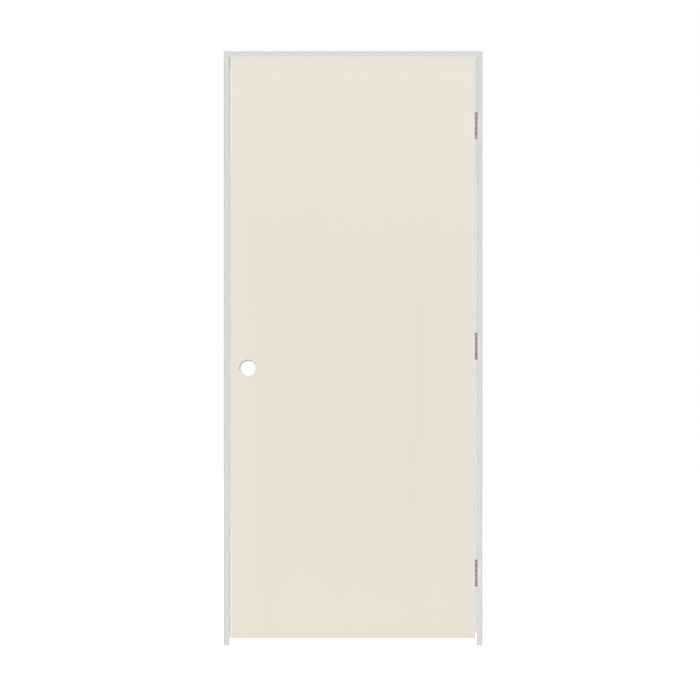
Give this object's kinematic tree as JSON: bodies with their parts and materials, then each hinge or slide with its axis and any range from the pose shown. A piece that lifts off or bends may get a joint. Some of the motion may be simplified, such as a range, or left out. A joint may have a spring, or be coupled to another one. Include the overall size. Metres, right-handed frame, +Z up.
{
  "type": "prehung interior door",
  "caption": "Flush hollow-core interior door hung on butt hinges in a wooden jamb with stops, bored for a knob and latch; the slab swings out to lie back against the wall.",
  "frame": {"origin": "on the outer face of the hinge jamb, at the middle of the jamb's depth, at floor level", "axes": "+X out of the hinge jamb's outer face, +Y from the pull side to the push side, +Z up"},
  "size_m": [0.9064, 0.1377, 2.0814],
  "materials": {
    "slab_primer": "factory primer on smooth hardboard, beige, eggshell",
    "jamb_primer": "factory primer on finger-jointed pine, light grey, matte",
    "edge_wood": "primed softwood edge, raw where cut",
    "hinge_nickel": "satin nickel plate on steel"
  },
  "bodies": {
    "frame": {"hinge_jamb": "jamb_primer", "latch_jamb": "jamb_primer", "head_jamb": "jamb_primer", "hinge_stop": "jamb_primer", "latch_stop": "jamb_primer", "head_stop": "jamb_primer", "top_hinge_jamb_leaf": "hinge_nickel", "top_hinge_pin": "hinge_nickel", "middle_hinge_jamb_leaf": "hinge_nickel", "middle_hinge_pin": "hinge_nickel", "bottom_hinge_jamb_leaf": "hinge_nickel", "bottom_hinge_pin": "hinge_nickel"},
    "door": {"pull_skin": "slab_primer", "push_skin": "slab_primer", "hinge_stile": "edge_wood", "latch_stile": "edge_wood", "top_rail": "edge_wood", "bottom_rail": "edge_wood", "lock_block": "edge_wood", "top_hinge_door_leaf": "hinge_nickel", "middle_hinge_door_leaf": "hinge_nickel", "bottom_hinge_door_leaf": "hinge_nickel"}
  },
  "joints": [
    {"name": "door_swing", "type": "hinge", "parent": "frame", "child": "door", "pos_m": [-0.02185, -0.07383, 0], "axis": [0, 0, 1], "range_deg": [0, 180]}
  ]
}
